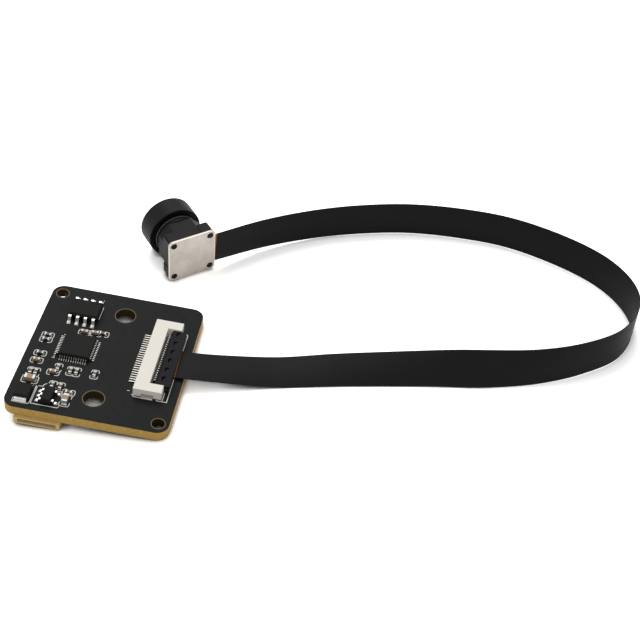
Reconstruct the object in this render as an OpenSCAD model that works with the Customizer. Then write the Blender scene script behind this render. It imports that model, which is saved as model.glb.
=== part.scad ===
// Wide-angle camera module: a small interface board, a long flat ribbon
// that lies in a loose loop, and a square camera head with a fisheye lens.
// Everything lies on the surface z = 0 as it would on a bench: the board
// leans on its underside cable socket and its right edge, the ribbon stands
// on its edge, and the head rests on its back plate and its lens ring.

/* [Board] */
// Width of the board, left to right
board_w = 25; // [23:0.5:32]
// Depth of the board, front to back
board_d = 28; // [27:0.5:36]
// Thickness of the board
board_t = 1.6; // [0.8:0.1:2.4]
// Radius of the board's corners
board_corner_r = 1.9; // [0.5:0.1:2.5]
// Diameter of the two large mounting holes
large_hole_d = 3.2; // [2.2:0.1:3.6]
// Distance between the two large mounting holes
large_hole_span = 19; // [18:0.5:20]
// Offset of the large holes to the right of the centre line
large_hole_x = 0.3; // [-0.5:0.1:0.8]
// Diameter of the two corner mounting holes
corner_hole_d = 2; // [1:0.1:2.4]
// Distance from the corner holes to the board's side edges
corner_hole_inset_x = 1.7; // [1.5:0.1:2]
// Distance from the corner holes to the board's front and back edges
corner_hole_inset_y = 1.9; // [1.6:0.1:2.2]

/* [Flex socket] */
// Number of contacts
contact_count = 22; // [10:1:26]
// Pitch of the contacts
contact_pitch = 0.5; // [0.4:0.05:0.5]
// Distance from the socket's mouth to the board's right edge
socket_inset = 2.4; // [2.1:0.1:3]
// Depth of the socket, front to back along the ribbon
socket_depth = 4.4; // [4.2:0.1:5.2]
// Height of the socket above the board
socket_h = 1.5; // [1.4:0.1:2.4]
// Depth of the solid bar behind the contacts
socket_bar = 2.2; // [1.9:0.1:2.3]
// Width of each side arm
socket_arm = 1.7; // [1:0.1:2.2]
// Room between the last contact and each side arm
socket_side_room = 1; // [0.45:0.05:1.2]
// Thickness of the socket's floor
socket_floor = 0.3; // [0.2:0.05:0.4]
// Radius of the latch's rounded hinge edge
latch_r = 0.3; // [0.24:0.02:0.32]
// Length of the latch from its hinge axis to its free edge
latch_reach = 1.9; // [1.5:0.1:2.3]
// Number of finger notches in the latch
notch_count = 6; // [2:1:6]
// Distance between the finger notches
notch_pitch = 2; // [1:0.1:2]
// Clearance between the latch and each side arm
latch_gap = 0.05; // [0.05:0.05:0.3]

/* [Cable socket] */
// Number of pins in the underside cable socket
cable_pins = 5; // [2:1:5]
// Pitch of the pins
cable_pitch = 1; // [0.8:0.05:1.05]
// Height of the cable socket below the board
cable_h = 1.2; // [1.1:0.05:1.8]
// Depth of the cable socket from its mouth to its back wall
cable_depth = 4; // [3.4:0.1:5]
// Thickness of the cable socket's walls
cable_wall = 0.25; // [0.2:0.05:0.3]
// Distance from the board's left edge to the cable socket
cable_inset = 2; // [1.9:0.1:3]
// How far the cable socket stands out past the board's front edge
cable_proud = 0.5; // [0:0.1:0.8]

/* [Chips] */
// Length of the memory chip's body
memory_l = 4.9; // [4:0.1:5.2]
// Width of the memory chip's body
memory_w = 3.9; // [3:0.1:4.1]
// Height of the memory chip
memory_h = 1.25; // [1:0.05:1.8]
// Side of the controller chip's body
controller_side = 4.9; // [4.6:0.1:5.2]
// Height of the controller chip
controller_h = 0.9; // [0.7:0.05:1.4]
// Pitch of the controller's leads
controller_pitch = 0.37; // [0.32:0.01:0.38]
// Leads on each side of the controller
controller_side_leads = 12; // [4:1:12]
// Length of the regulator's body
regulator_l = 2.9; // [2.5:0.1:3]
// Width of the regulator's body
regulator_w = 1.6; // [1.4:0.1:1.8]
// Height of the regulator
regulator_h = 1.1; // [0.8:0.05:1.3]
// Length of the diode's body
diode_l = 2.6; // [2.2:0.1:2.7]
// Width of the diode's body
diode_w = 2.3; // [1.6:0.1:2.4]
// Height of the diode
diode_h = 1; // [0.7:0.05:1.3]

/* [Small parts] */
// Length of a small chip part
small_l = 1; // [0.9:0.05:1.1]
// Width of a small chip part
small_w = 0.5; // [0.4:0.05:0.6]
// Height of a small capacitor
small_cap_h = 0.5; // [0.4:0.05:0.6]
// Height of a small resistor
small_resistor_h = 0.35; // [0.25:0.05:0.45]
// Length of a large chip capacitor
large_l = 1.6; // [1.4:0.05:1.7]
// Width of a large chip capacitor
large_w = 0.85; // [0.7:0.05:0.9]
// Height of a large chip capacitor
large_cap_h = 0.75; // [0.6:0.05:0.9]

/* [Camera head] */
// Side of the square back plate
head_side = 8.6; // [8.3:0.1:9.1]
// Thickness of the steel back plate
plate_t = 0.25; // [0.15:0.05:0.4]
// Corner radius of the back plate
plate_corner_r = 0.8; // [0.3:0.1:1.2]
// Thickness of the flexible circuit behind the plate
head_flex_t = 0.2; // [0.1:0.05:0.3]
// Diameter of the holder's four pins
pin_d = 1; // [0.6:0.1:1.2]
// Distance from the pins to the plate's edges
pin_inset = 0.95; // [0.9:0.05:1.05]
// How far the plate's edges stand out past the holder
plate_lip = 0.2; // [0:0.05:0.3]
// Depth of the holder's square base
holder_base = 2.2; // [2.1:0.05:3]
// Chamfer of the holder's base
holder_chamfer = 0.3; // [0.1:0.05:0.6]
// Wall thickness of the holder's base
holder_wall = 1.15; // [0.9:0.05:1.2]
// Depth of the shallow panel in each side of the holder's base
holder_panel = 0.12; // [0.05:0.01:0.2]
// Side of the holder's eight-sided tower
tower_side = 7.6; // [7.4:0.1:7.9]
// Chamfer of the tower's corners
tower_chamfer = 1.75; // [1:0.05:2]
// Length of the tower
tower_l = 2.3; // [2:0.1:3]
// Side of the image sensor
sensor_side = 5.4; // [4.5:0.1:5.6]
// Thickness of the image sensor
sensor_t = 0.7; // [0.5:0.05:0.9]
// Side of the filter glass
filter_side = 5; // [4.6:0.1:5.6]
// Thickness of the filter glass
filter_t = 0.3; // [0.2:0.05:0.4]

/* [Lens] */
// Diameter of the lens barrel inside the holder
barrel_d = 5.6; // [5:0.1:6]
// Diameter of the barrel's collar
collar_d = 7.4; // [7.2:0.1:8.8]
// Length of the barrel's collar
collar_l = 1.2; // [0.6:0.1:1.4]
// Gap between the tower and the collar
collar_gap = 0.4; // [0.05:0.05:0.5]
// Outer diameter of the lens ring
ring_d = 9.5; // [9.3:0.1:10]
// Length of the lens ring
ring_l = 3.75; // [3.4:0.05:4.4]
// Radius of the lens ring's rounded front edge
ring_round = 0.25; // [0.1:0.05:0.6]
// Wall of the lens ring at its front rim
ring_wall = 0.9; // [0.65:0.05:1.1]
// Bore of the barrel
barrel_bore = 4.2; // [3.6:0.1:4.6]
// Radius of the front glass's domed face
dome_r = 4.6; // [4.2:0.1:8]

/* [Ribbon] */
// Width of the ribbon
ribbon_w = 6; // [5:0.1:7]
// Thickness of the ribbon
ribbon_t = 0.15; // [0.1:0.05:0.2]
// Thickness of the ribbon's stiffened tail
tail_t = 0.3; // [0.2:0.05:0.3]

/* [Hidden] */
$fn = 48;

// Clearances and small working sizes
slip = 0.05;           // gap between pieces that lie loosely together
cut = 0.1;             // how far a cutting shape reaches past a face
pivot_r = 0.18;        // radius of the latch's hinge stubs
pivot_slip = 0.04;     // radial clearance of the hinge stubs
pivot_l = 0.35;        // length of a hinge stub beyond the latch
contact_t = 0.16;      // thickness of a flex socket contact
contact_slot_w = 0.22; // width of the slot that holds a contact
contact_tail = 1.25;   // how far a contact's solder tail reaches out
contact_arm_h = 0.55;  // height of a contact's arm inside the bar
contact_rise = 0.75;   // height of a contact's tip above the ribbon's tail
tail_setback = 0.3;    // from the bar to the end of the ribbon's tail
latch_setback = 1.1;   // from the bar to the latch's hinge axis
hold_tab_w = 1.8;      // width of a flex socket hold-down
hold_tab_reach = 0.3;  // how far a hold-down reaches past the socket
hold_tab_t = 0.15;     // thickness of a hold-down
hold_tab_h = 0.6;      // height of a hold-down's upright leg
lead_foot_t = 0.16;    // thickness of a chip lead
memory_share = 0.68;   // height of the memory's lead plane as a share of its own
end_cap_share = 0.24;  // metal end's share of a chip part's length
flex_tongue = 0.2;     // how far the flexible circuit passes the plate
pin_proud = 0.1;       // how far the holder's pins stand out of the plate
sensor_gap = 0.35;     // between the sensor and the filter glass
ledge_t = 0.2;         // holder's ledge between the filter and the barrel
glass_depth = 1.9;     // from the front rim back to the front glass's seat
ring_chamfer = 0.1;    // chamfer of the lens ring's rear rim
cable_back_wall = 1;   // thickness of the cable socket's back wall
cable_side_wall = 0.6; // thickness of the cable socket's side walls
cable_pin_w = 0.3;     // width of a cable socket's pin
cable_pin_back = 0.9;  // from the cable socket's mouth to its pins

// The board leans on the cable socket's inner bottom edge and its own right
// edge, so the cable socket's height sets the lean.
cable_l = cable_pins * cable_pitch + 2;
cable_x = -board_w / 2 + cable_inset;
cable_right = cable_x + cable_l;
cable_y = -board_d / 2 - cable_proud; // the cable socket's mouth
board_lean = atan(cable_h / (board_w / 2 - cable_right));
board_lift = board_w / 2 * sin(board_lean);

// Flex socket, measured on the board's top face
socket_y = 0.6;
cavity_l = (contact_count - 1) * contact_pitch + 2 * socket_side_room;
socket_l = cavity_l + 2 * socket_arm;
socket_x = board_w / 2 - socket_inset - socket_depth;
tail_gap = 0.04;                      // between the tail and the floor
tail_z = socket_floor + tail_gap;     // underside of the ribbon's tail
tail_w = cavity_l - 2 * slip;
tail_x = socket_x + socket_bar + tail_setback;
hinge_x = socket_x + socket_bar + latch_setback;
latch_under = tail_z + tail_t + slip; // underside of the closed latch
latch_l = cavity_l - 2 * latch_gap;
tail_end = hinge_x + latch_reach;
latch_axis_h = latch_under + latch_r; // height of the hinge axis
contact_top = tail_z + tail_t + contact_rise; // top of a contact's tip

left = -board_w / 2;
front = -board_d / 2;

// The chips and chip parts share one layout. Its places are in grid steps
// from the layout's own front left corner.
grid = 1;
layout_d = 24.4 * grid; // depth that the layout needs
layout_y = front + (board_d - layout_d) * 0.3;

// Chip places: [x, y]
memory_at = grid * [6.45, 21.4];
controller_at = grid * [7.55, 13.15];
regulator_at = grid * [6.25, 1.95];
diode_at = grid * [2.5, 1.9];

// Chip parts: [x, y], those that lie left to right and those front to back
small_caps_across = grid * [[7.6, 16.95], [9.3, 17.1], [2.3, 9.1], [5.45, 7.2]];
large_caps_across = grid * [[2.55, 4.95]];
large_caps_along = grid * [[8.9, 2]];
resistors_across = grid * [
    [10.45, 17.3], [2.3, 14.9], [2.3, 13.85], [2.35, 10.75], [8.9, 3.65]
];
resistors_along = grid * [
    [2.15, 6.55], [2.95, 6.55], [5.9, 8.3], [7.9, 8.1], [8.85, 8.1],
    [11.6, 8.3], [6.15, 4.5], [7.4, 4.45]
];

// Camera head: its own frame has x along the plate, y from the plate's
// outer face towards the lens and z up from the plate's lower edge.
// It rests on the plate's lower edge and the lens ring's rear rim.
head_at = [8, 24.7];
head_turn = 38.3;
axis_h = head_side / 2;
holder_side = head_side - 2 * plate_lip;
flex_y = plate_t;
holder_y = flex_y + head_flex_t;
tower_y = holder_y + holder_base;
neck_y = tower_y + tower_l;
collar_y = neck_y + collar_gap;
ring_y = collar_y + collar_l + slip;
ring_front = ring_y + ring_l;
head_lean = atan((ring_d / 2 - axis_h) / (ring_y + ring_chamfer));
sensor_y = holder_y + slip;
filter_y = sensor_y + sensor_t + sensor_gap;
ledge_y = filter_y + filter_t;
barrel_y = ledge_y + ledge_t;
glass_seat = ring_front - glass_depth;
dome_edge_r = ring_d / 2 - ring_wall - 0.15;
hub_r = ring_d / 2 - ring_wall - 0.6; // barrel's stem in the lens ring
dome_rise = dome_r - sqrt(dome_r * dome_r - dome_edge_r * dome_edge_r);

// Route of the ribbon's centre line: [x, y, z, lean of the ribbon]. It
// starts at the socket, turns onto its edge and runs back to the head.
route = [
    [11, 0.45, 2.1, 0], [14, 0.6, 1.95, 0], [19.5, 1.6, 1.3, 3],
    [27, 3.2, 0.6, 8], [35.5, 5, 0.9, 14], [44, 6.5, 1.2, 21],
    [52, 7.6, 1.7, 31], [59.5, 7.9, 2.6, 56], [67, 9.4, 2.95, 71],
    [74, 12.4, 3.1, 80], [80, 17, 3.1, 85], [82.9, 23.5, 3.1, 91],
    [81.8, 29.6, 3.1, 98], [77.5, 35.3, 3.1, 101], [70.3, 39.9, 3.1, 101],
    [61.5, 43.2, 3.1, 99], [52.5, 44.2, 3.1, 98], [43.6, 43.8, 3.1, 96],
    [35, 41.8, 3.1, 95], [27, 38.8, 3.1, 93], [19, 34, 3.5, 90],
    [11.4, 27.5, 4.3, 86]
];
ring_steps = 3; // rings for each stretch of the route

// The origin lies on the surface under the middle of board and head.
head_back = head_at.y
    + cos(head_turn) * (ring_front * cos(head_lean) - axis_h * sin(head_lean))
    + (ring_d / 2 - ring_round) * sqrt(pow(sin(head_turn), 2)
                        + pow(cos(head_turn) * sin(head_lean), 2));
origin = [board_t * sin(board_lean) / 2, (head_back + cable_y) / 2];

// ---------------------------------------------------------------- frames

// The surface that everything lies on
module on_surface() {
    translate([-origin.x, -origin.y, 0]) children();
}

// The board's own frame: centre of its underside, z out of its top
module on_board() {
    on_surface() translate([0, 0, board_lift]) rotate([0, board_lean, 0])
        children();
}

// The board's top face
module on_top() {
    on_board() translate([0, 0, board_t]) children();
}

// The layout of chips on the board's top face
module on_layout() {
    on_top() translate([left, layout_y, 0]) children();
}

// The camera head's frame
module on_head() {
    on_surface() translate([head_at.x, head_at.y, 0])
        rotate([0, 0, head_turn]) rotate([head_lean, 0, 0]) children();
}

// The lens axis, with z along it towards the front
module on_axis(along) {
    on_head() translate([0, along, axis_h]) rotate([-90, 0, 0]) children();
}

// ---------------------------------------------------------------- shapes

module rounded_plate(w, d, t, r) {
    linear_extrude(t) union() {
        square([w - 2 * r, d], center = true);
        square([w, d - 2 * r], center = true);
        for (sx = [-1, 1], sy = [-1, 1])
            translate([sx * (w / 2 - r), sy * (d / 2 - r)]) circle(r);
    }
}

// A square of the given side with cut corners
module cut_square(side, chamfer) {
    h = side / 2;
    c = h - chamfer;
    polygon([[-c, -h], [c, -h], [h, -c], [h, c], [c, h], [-c, h], [-h, c],
             [-h, -c]]);
}

// A profile drawn in x and z, given a thickness along y
module xz_blade(points, t) {
    translate([0, t / 2, 0]) rotate([90, 0, 0]) linear_extrude(t)
        polygon(points);
}

// A gull-wing lead: it leaves the body at x = 0 and its foot lies on z = 0
module gull_lead(reach, rise, w, t) {
    knee = reach * 0.34;
    foot = reach * 0.56;
    xz_blade([[0, rise - t], [knee - t * 0.4, rise - t], [foot - t * 0.4, 0],
              [reach, 0], [reach, t], [foot + t * 0.4, t],
              [knee + t * 0.4, rise], [0, rise]], w);
}

// A moulded body with sides that slope in above and below its lead plane
module moulded_body(l, w, h, stand, slope, share = 0.5) {
    mid = stand + (h - stand) * share;
    hull() {
        translate([0, 0, mid]) cube([l, w, 0.02], center = true);
        for (z = [stand + 0.01, h - 0.01]) translate([0, 0, z])
            cube([l - 2 * slope.x, w - 2 * slope.y, 0.02], center = true);
    }
}

// A body of revolution about the lens axis, from [radius, along] points
module turned(points) {
    rotate_extrude($fn = 96) polygon(points);
}

// ----------------------------------------------------------------- board

module circuit_board() {
    color([0.15, 0.15, 0.16]) on_board() difference() {
        rounded_plate(board_w, board_d, board_t, board_corner_r);
        for (s = [-1, 1]) {
            translate([large_hole_x, s * large_hole_span / 2, -cut])
                cylinder(h = board_t + 2 * cut, d = large_hole_d);
            translate([s * (board_w / 2 - corner_hole_inset_x),
                       -s * (board_d / 2 - corner_hole_inset_y), -cut])
                cylinder(h = board_t + 2 * cut, d = corner_hole_d);
        }
    }
}

// ----------------------------------------------------------- flex socket

function contact_y(i) =
    socket_y + (i - (contact_count - 1) / 2) * contact_pitch;

module flex_socket_housing() {
    color([0.93, 0.91, 0.87]) on_top() difference() {
        translate([socket_x, socket_y, 0]) union() {
            translate([0, -socket_l / 2, 0])
                cube([socket_bar, socket_l, socket_h]);
            for (s = [-1, 1])
                translate([socket_bar, s * (cavity_l + socket_arm) / 2
                           - socket_arm / 2, 0])
                    cube([socket_depth - socket_bar, socket_arm, socket_h]);
            translate([socket_bar, -cavity_l / 2, 0])
                cube([socket_depth - socket_bar, cavity_l, socket_floor]);
        }
        for (i = [0 : contact_count - 1])
            translate([socket_x - cut, contact_y(i) - contact_slot_w / 2,
                       -cut])
                cube([socket_bar + 2 * cut, contact_slot_w,
                      contact_arm_h + slip + cut]);
        // pockets for the latch's hinge stubs
        translate([hinge_x, socket_y, latch_axis_h]) rotate([90, 0, 0])
            cylinder(h = latch_l + 2 * pivot_l + 2 * pivot_slip,
                     r = pivot_r + pivot_slip, center = true);
        for (s = [-1, 1])
            translate([socket_x + socket_depth / 2,
                       socket_y + s * (socket_l / 2), hold_tab_h / 2 - cut])
                cube([hold_tab_w + 2 * slip, 2 * hold_tab_t + 2 * slip,
                      hold_tab_h + 2 * cut], center = true);
    }
}

module flex_socket_contacts() {
    neck = socket_bar - 0.3;             // where the arm starts to rise
    tip = hinge_x - socket_x - 0.45;     // end of the rising arm
    touch = tail_z + tail_t + slip / 2;  // just above the ribbon's tail
    profile = [[-contact_tail, 0], [0.35, 0], [0.45, 0.1], [neck, 0.1],
               [socket_bar + tail_setback - slip, touch], [tip - 0.12, touch],
               [tip, contact_top - 0.2], [tip, contact_top],
               [tip - 0.15, contact_top], [socket_bar, contact_arm_h],
               [0.3, contact_arm_h], [0.1, 0.14], [-contact_tail, 0.14]];
    color([0.75, 0.74, 0.72]) on_top()
        for (i = [0 : contact_count - 1])
            translate([socket_x, contact_y(i), 0])
                xz_blade(profile, contact_t);
}

module flex_socket_tabs() {
    color([0.8, 0.79, 0.76]) on_top()
        for (s = [-1, 1]) translate([socket_x + socket_depth / 2, socket_y, 0])
            mirror([0, s < 0 ? 1 : 0, 0])
                translate([-hold_tab_w / 2, socket_l / 2, 0])
                union() {
                    translate([0, -hold_tab_t, 0])
                        cube([hold_tab_w, hold_tab_t, hold_tab_h]);
                    translate([0, -cut / 2, 0])
                        cube([hold_tab_w, hold_tab_reach + cut / 2,
                              hold_tab_t]);
                }
}

module flex_socket_latch() {
    top = latch_axis_h + latch_r;
    notch_x = 0.42;     // from the hinge axis to the notches
    notch_shift = 0.35; // the notches sit off the latch's middle
    notch_l = 0.54;
    notch_w = 0.75;
    stem = 0.22;
    color([0.13, 0.13, 0.14]) on_top() translate([hinge_x, socket_y, 0])
        difference() {
            union() {
                translate([0, 0, latch_axis_h]) rotate([90, 0, 0])
                    cylinder(h = latch_l, r = latch_r, center = true);
                translate([0, -latch_l / 2, latch_under])
                    cube([latch_reach, latch_l, top - latch_under]);
                translate([0, 0, latch_axis_h]) rotate([90, 0, 0])
                    cylinder(h = latch_l + 2 * pivot_l, r = pivot_r,
                             center = true);
            }
            for (i = [0 : notch_count - 1])
                translate([notch_x,
                           notch_shift + (i - (notch_count - 1) / 2) * notch_pitch,
                           latch_under - cut]) {
                    translate([0, notch_w / 2 - stem, 0])
                        cube([notch_l, stem + 0.1, top]);
                    translate([0, -notch_w / 2, 0])
                        cube([stem, notch_w, top]);
                }
        }
}

module ribbon_tail() {
    color([0.72, 0.42, 0.12]) on_top()
        translate([tail_x, socket_y - tail_w / 2, tail_z])
            cube([tail_end - tail_x, tail_w, tail_t]);
}

// ----------------------------------------------------------------- chips

module memory_chip_body() {
    color([0.1, 0.1, 0.1]) on_layout() translate(memory_at) difference() {
        moulded_body(memory_l, memory_w, memory_h, 0.12, [0.12, 0.3], memory_share);
        translate([memory_l / 2 - 0.8, memory_w / 2 - 0.9, memory_h - 0.06])
            cylinder(h = 0.2, r = 0.3);
    }
}

module memory_chip_leads() {
    lead_pitch = 1.27;
    color([0.83, 0.83, 0.82]) on_layout() translate(memory_at)
        for (i = [0 : 3], s = [-1, 1])
            translate([(i - 1.5) * lead_pitch, s * memory_w / 2, 0])
                rotate([0, 0, s * 90])
                    gull_lead(1.05, memory_h * memory_share + lead_foot_t / 2,
                              0.48, lead_foot_t);
}

module controller_chip_body() {
    color([0.11, 0.11, 0.11]) on_layout() translate(controller_at)
        moulded_body(controller_side, controller_side, controller_h, 0.05,
                     [0.08, 0.08]);
}

module controller_chip_leads() {
    color([0.8, 0.8, 0.79]) on_layout() translate(controller_at)
        for (side = [0 : 3], i = [0 : controller_side_leads - 1])
            rotate([0, 0, side * 90])
                translate([controller_side / 2,
                           (i - (controller_side_leads - 1) / 2)
                           * controller_pitch, 0])
                    gull_lead(0.68, controller_h * 0.55, 0.15, 0.1);
}

module regulator_body() {
    color([0.1, 0.1, 0.1]) on_layout() translate(regulator_at)
        moulded_body(regulator_w, regulator_l, regulator_h, 0.08,
                     [0.08, 0.08]);
}

module regulator_leads() {
    lead_pitch = 0.95;
    lead_places = [[-1, -1], [-1, 0], [-1, 1], [1, -1], [1, 1]];
    color([0.83, 0.83, 0.82]) on_layout() translate(regulator_at)
        for (p = lead_places)
            translate([p.x * regulator_w / 2, p.y * lead_pitch, 0])
                rotate([0, 0, p.x > 0 ? 0 : 180])
                    gull_lead(0.75, regulator_h * 0.55, 0.4, lead_foot_t);
}

module diode_body() {
    color([0.1, 0.1, 0.1]) on_layout() translate(diode_at)
        moulded_body(diode_w, diode_l, diode_h, 0.04, [0.1, 0.1]);
}

module diode_terminals() {
    color([0.85, 0.85, 0.84]) on_layout() translate(diode_at)
        for (s = [-1, 1])
            translate([0, s * diode_l / 2, 0]) rotate([0, 0, s * 90])
                gull_lead(0.55, diode_h * 0.55, diode_w * 0.8, lead_foot_t);
}

// ------------------------------------------------------ small chip parts

// The middle of a chip part, between its metal ends
module chip_middle(l, w, h) {
    translate([0, 0, h / 2])
        cube([l * (1 - 2 * end_cap_share), w, h], center = true);
}

// The two metal ends of a chip part
module chip_ends(l, w, h) {
    e = l * end_cap_share;
    for (s = [-1, 1]) translate([s * (l - e) / 2, 0, h / 2])
        cube([e, w, h], center = true);
}

// Puts its children at each place of a list, turned
module at_places(places, turn) {
    for (p = places) translate(p) rotate([0, 0, turn]) children();
}

module capacitor_bodies() {
    color([0.45, 0.33, 0.24]) on_layout() union() {
        at_places(small_caps_across, 0)
            chip_middle(small_l, small_w, small_cap_h);
        at_places(large_caps_across, 0)
            chip_middle(large_l, large_w, large_cap_h);
        at_places(large_caps_along, 90)
            chip_middle(large_l, large_w, large_cap_h);
    }
}

module resistor_bodies() {
    color([0.12, 0.12, 0.12]) on_layout() union() {
        at_places(resistors_across, 0)
            chip_middle(small_l, small_w, small_resistor_h);
        at_places(resistors_along, 90)
            chip_middle(small_l, small_w, small_resistor_h);
    }
}

module chip_part_ends() {
    color([0.85, 0.84, 0.82]) on_layout() union() {
        at_places(small_caps_across, 0) chip_ends(small_l, small_w, small_cap_h);
        at_places(large_caps_across, 0) chip_ends(large_l, large_w, large_cap_h);
        at_places(large_caps_along, 90) chip_ends(large_l, large_w, large_cap_h);
        at_places(resistors_across, 0)
            chip_ends(small_l, small_w, small_resistor_h);
        at_places(resistors_along, 90)
            chip_ends(small_l, small_w, small_resistor_h);
    }
}

// ---------------------------------------------------------- cable socket

module cable_socket_housing() {
    inner_w = cable_l - 2 * cable_side_wall;
    color([0.9, 0.84, 0.68]) on_board()
        translate([cable_x, cable_y, -cable_h]) difference() {
            cube([cable_l, cable_depth, cable_h]);
            translate([cable_side_wall, -cut, cable_wall])
                cube([inner_w, cable_depth - cable_back_wall + cut,
                      cable_h - 2 * cable_wall]);
            for (i = [0 : cable_pins - 1])
                translate([cable_l / 2 + (i - (cable_pins - 1) / 2)
                           * cable_pitch - cable_pin_w / 2 - slip,
                           cable_depth - cable_back_wall - cut,
                           cable_h / 2 - cable_pin_w / 2 - slip])
                    cube([cable_pin_w + 2 * slip, cable_back_wall + 2 * cut,
                          cable_pin_w + 2 * slip]);
        }
}

module cable_socket_pins() {
    foot = 0.15;
    top = -cable_h / 2 + cable_pin_w / 2;
    bottom = top - cable_pin_w;
    inner = cable_depth + 0.2;
    outer = inner + foot;
    end = cable_depth + 1.1;
    profile = [[cable_pin_back, bottom], [outer, bottom], [outer, -foot],
               [end, -foot], [end, 0], [inner, 0], [inner, top],
               [cable_pin_back, top]];
    color([0.8, 0.78, 0.7]) on_board()
        for (i = [0 : cable_pins - 1])
            translate([cable_x + cable_l / 2 + (i - (cable_pins - 1) / 2)
                       * cable_pitch, cable_y, 0])
                rotate([0, 0, 90]) xz_blade(profile, cable_pin_w);
}

module cable_socket_tabs() {
    tab_d = 1.4;
    color([0.8, 0.79, 0.76]) on_board()
        for (s = [-1, 1])
            translate([cable_x + cable_l / 2, cable_y + cable_depth * 0.55,
                       0])
                mirror([s < 0 ? 1 : 0, 0, 0])
                    translate([cable_l / 2, -tab_d / 2, -0.15])
                        cube([0.7, tab_d, 0.15]);
}

// ---------------------------------------------------------------- ribbon

// Smooth curve through the route's points
function blend(p0, p1, p2, p3, f) =
    0.5 * (2 * p1 + (p2 - p0) * f + (2 * p0 - 5 * p1 + 4 * p2 - p3) * f * f
           + (3 * p1 - p0 - 3 * p2 + p3) * f * f * f);
function route_point(i) =
    let (n = len(route) - 1)
    i < 0 ? 2 * route[0] - route[1]
    : i > n ? 2 * route[n] - route[n - 1] : route[i];
function route_at(u) =
    let (i = min(floor(u), len(route) - 2))
    blend(route_point(i - 1), route_point(i), route_point(i + 1),
          route_point(i + 2), u - i);
function unit(v) = v / norm(v);
function xyz(p) = [p.x, p.y, p.z];

// Four corners of the ribbon's section, leaning about its centre line
function section(u, w, t) =
    let (p = route_at(u), ahead = route_at(u + 0.02), behind = route_at(u - 0.02),
         along = unit(xyz(ahead) - xyz(behind)),
         side = unit(cross([0, 0, 1], along)),
         up = cross(along, side),
         across = cos(p[3]) * side + sin(p[3]) * up,
         face = cross(along, across))
    [for (c = [[-1, -1], [1, -1], [1, 1], [-1, 1]])
        xyz(p) + c.x * w / 2 * across + c.y * t / 2 * face];

module swept_ribbon(w, t) {
    last = (len(route) - 1) * ring_steps;
    rings = [for (k = [0 : last]) section(k / ring_steps, w, t)];
    points = [for (r = rings) each r];
    sides = [for (k = [0 : last - 1], c = [0 : 3])
        let (a = 4 * k + c, b = 4 * k + (c + 1) % 4)
        each [[a, b, b + 4], [a, b + 4, a + 4]]];
    ends = [[2, 1, 0], [3, 2, 0],
            [4 * last, 4 * last + 1, 4 * last + 2],
            [4 * last, 4 * last + 2, 4 * last + 3]];
    polyhedron(points, concat(sides, ends));
}

module ribbon() {
    color([0.13, 0.13, 0.14]) on_surface() swept_ribbon(ribbon_w, ribbon_t);
}

// ----------------------------------------------------------- camera head

pin_offset = head_side / 2 - pin_inset;

// Places its children at the four pins, with z towards the lens
module at_pins(along) {
    for (sx = [-1, 1], sz = [-1, 1])
        on_axis(along) translate([sx * pin_offset, sz * pin_offset, 0])
            children();
}

module head_back_plate() {
    color([0.76, 0.73, 0.7]) difference() {
        on_axis(0) rounded_plate(head_side, head_side, plate_t,
                                 plate_corner_r);
        at_pins(-cut) cylinder(h = plate_t + 2 * cut, r = pin_d / 2 + slip);
    }
}

module head_flex() {
    color([0.72, 0.42, 0.12]) difference() {
        on_axis(flex_y) union() {
            rounded_plate(head_side - plate_lip, head_side - plate_lip,
                          head_flex_t, plate_corner_r);
            translate([0, -ribbon_w / 2, 0])
                cube([head_side / 2 + flex_tongue, ribbon_w, head_flex_t]);
        }
        at_pins(flex_y - cut)
            cylinder(h = head_flex_t + 2 * cut, r = pin_d / 2 + slip);
    }
}

module image_sensor() {
    color([0.2, 0.22, 0.26]) on_axis(sensor_y)
        linear_extrude(sensor_t) square(sensor_side, center = true);
}

module filter_glass() {
    color([0.5, 0.75, 0.8, 0.5]) on_axis(filter_y)
        linear_extrude(filter_t) square(filter_side, center = true);
}

module lens_holder() {
    room = holder_side - 2 * holder_wall;
    panel_w = holder_side * 0.5;
    color([0.12, 0.12, 0.13]) union() {
        difference() {
            union() {
                on_axis(holder_y) linear_extrude(holder_base)
                    cut_square(holder_side, holder_chamfer);
                on_axis(tower_y - cut) linear_extrude(tower_l + cut)
                    cut_square(tower_side, tower_chamfer);
            }
            // a shallow panel in the middle of each side of the base
            for (side = [0 : 3]) on_axis(holder_y - cut)
                rotate([0, 0, side * 90])
                    translate([holder_side / 2 - holder_panel, -panel_w / 2, 0])
                        cube([1, panel_w, holder_base + 2 * cut]);
            // room for the sensor, then for the filter
            on_axis(holder_y - cut)
                linear_extrude(filter_y - holder_y + cut)
                    square(room, center = true);
            on_axis(filter_y - cut) linear_extrude(filter_t + cut)
                square(filter_side + 2 * slip, center = true);
            // light opening and the bore that holds the barrel
            on_axis(filter_y)
                cylinder(h = barrel_y - filter_y + cut, d = barrel_bore);
            on_axis(barrel_y)
                cylinder(h = neck_y - barrel_y + cut, d = barrel_d + 2 * slip);
        }
        at_pins(-pin_proud)
            cylinder(h = holder_y + pin_proud + cut, d = pin_d);
    }
}

// ------------------------------------------------------------------ lens

module lens_barrel() {
    inner = barrel_bore / 2;
    outer = barrel_d / 2;
    rim = collar_d / 2;
    color([0.1, 0.1, 0.11]) on_axis(0)
        turned([[inner, barrel_y + slip], [outer, barrel_y + slip],
                [outer, collar_y], [rim - 0.1, collar_y],
                [rim, collar_y + 0.1], [rim, ring_y - slip],
                [hub_r, ring_y - slip], [hub_r, glass_seat - slip],
                [inner, glass_seat - slip]]);
}

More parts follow.
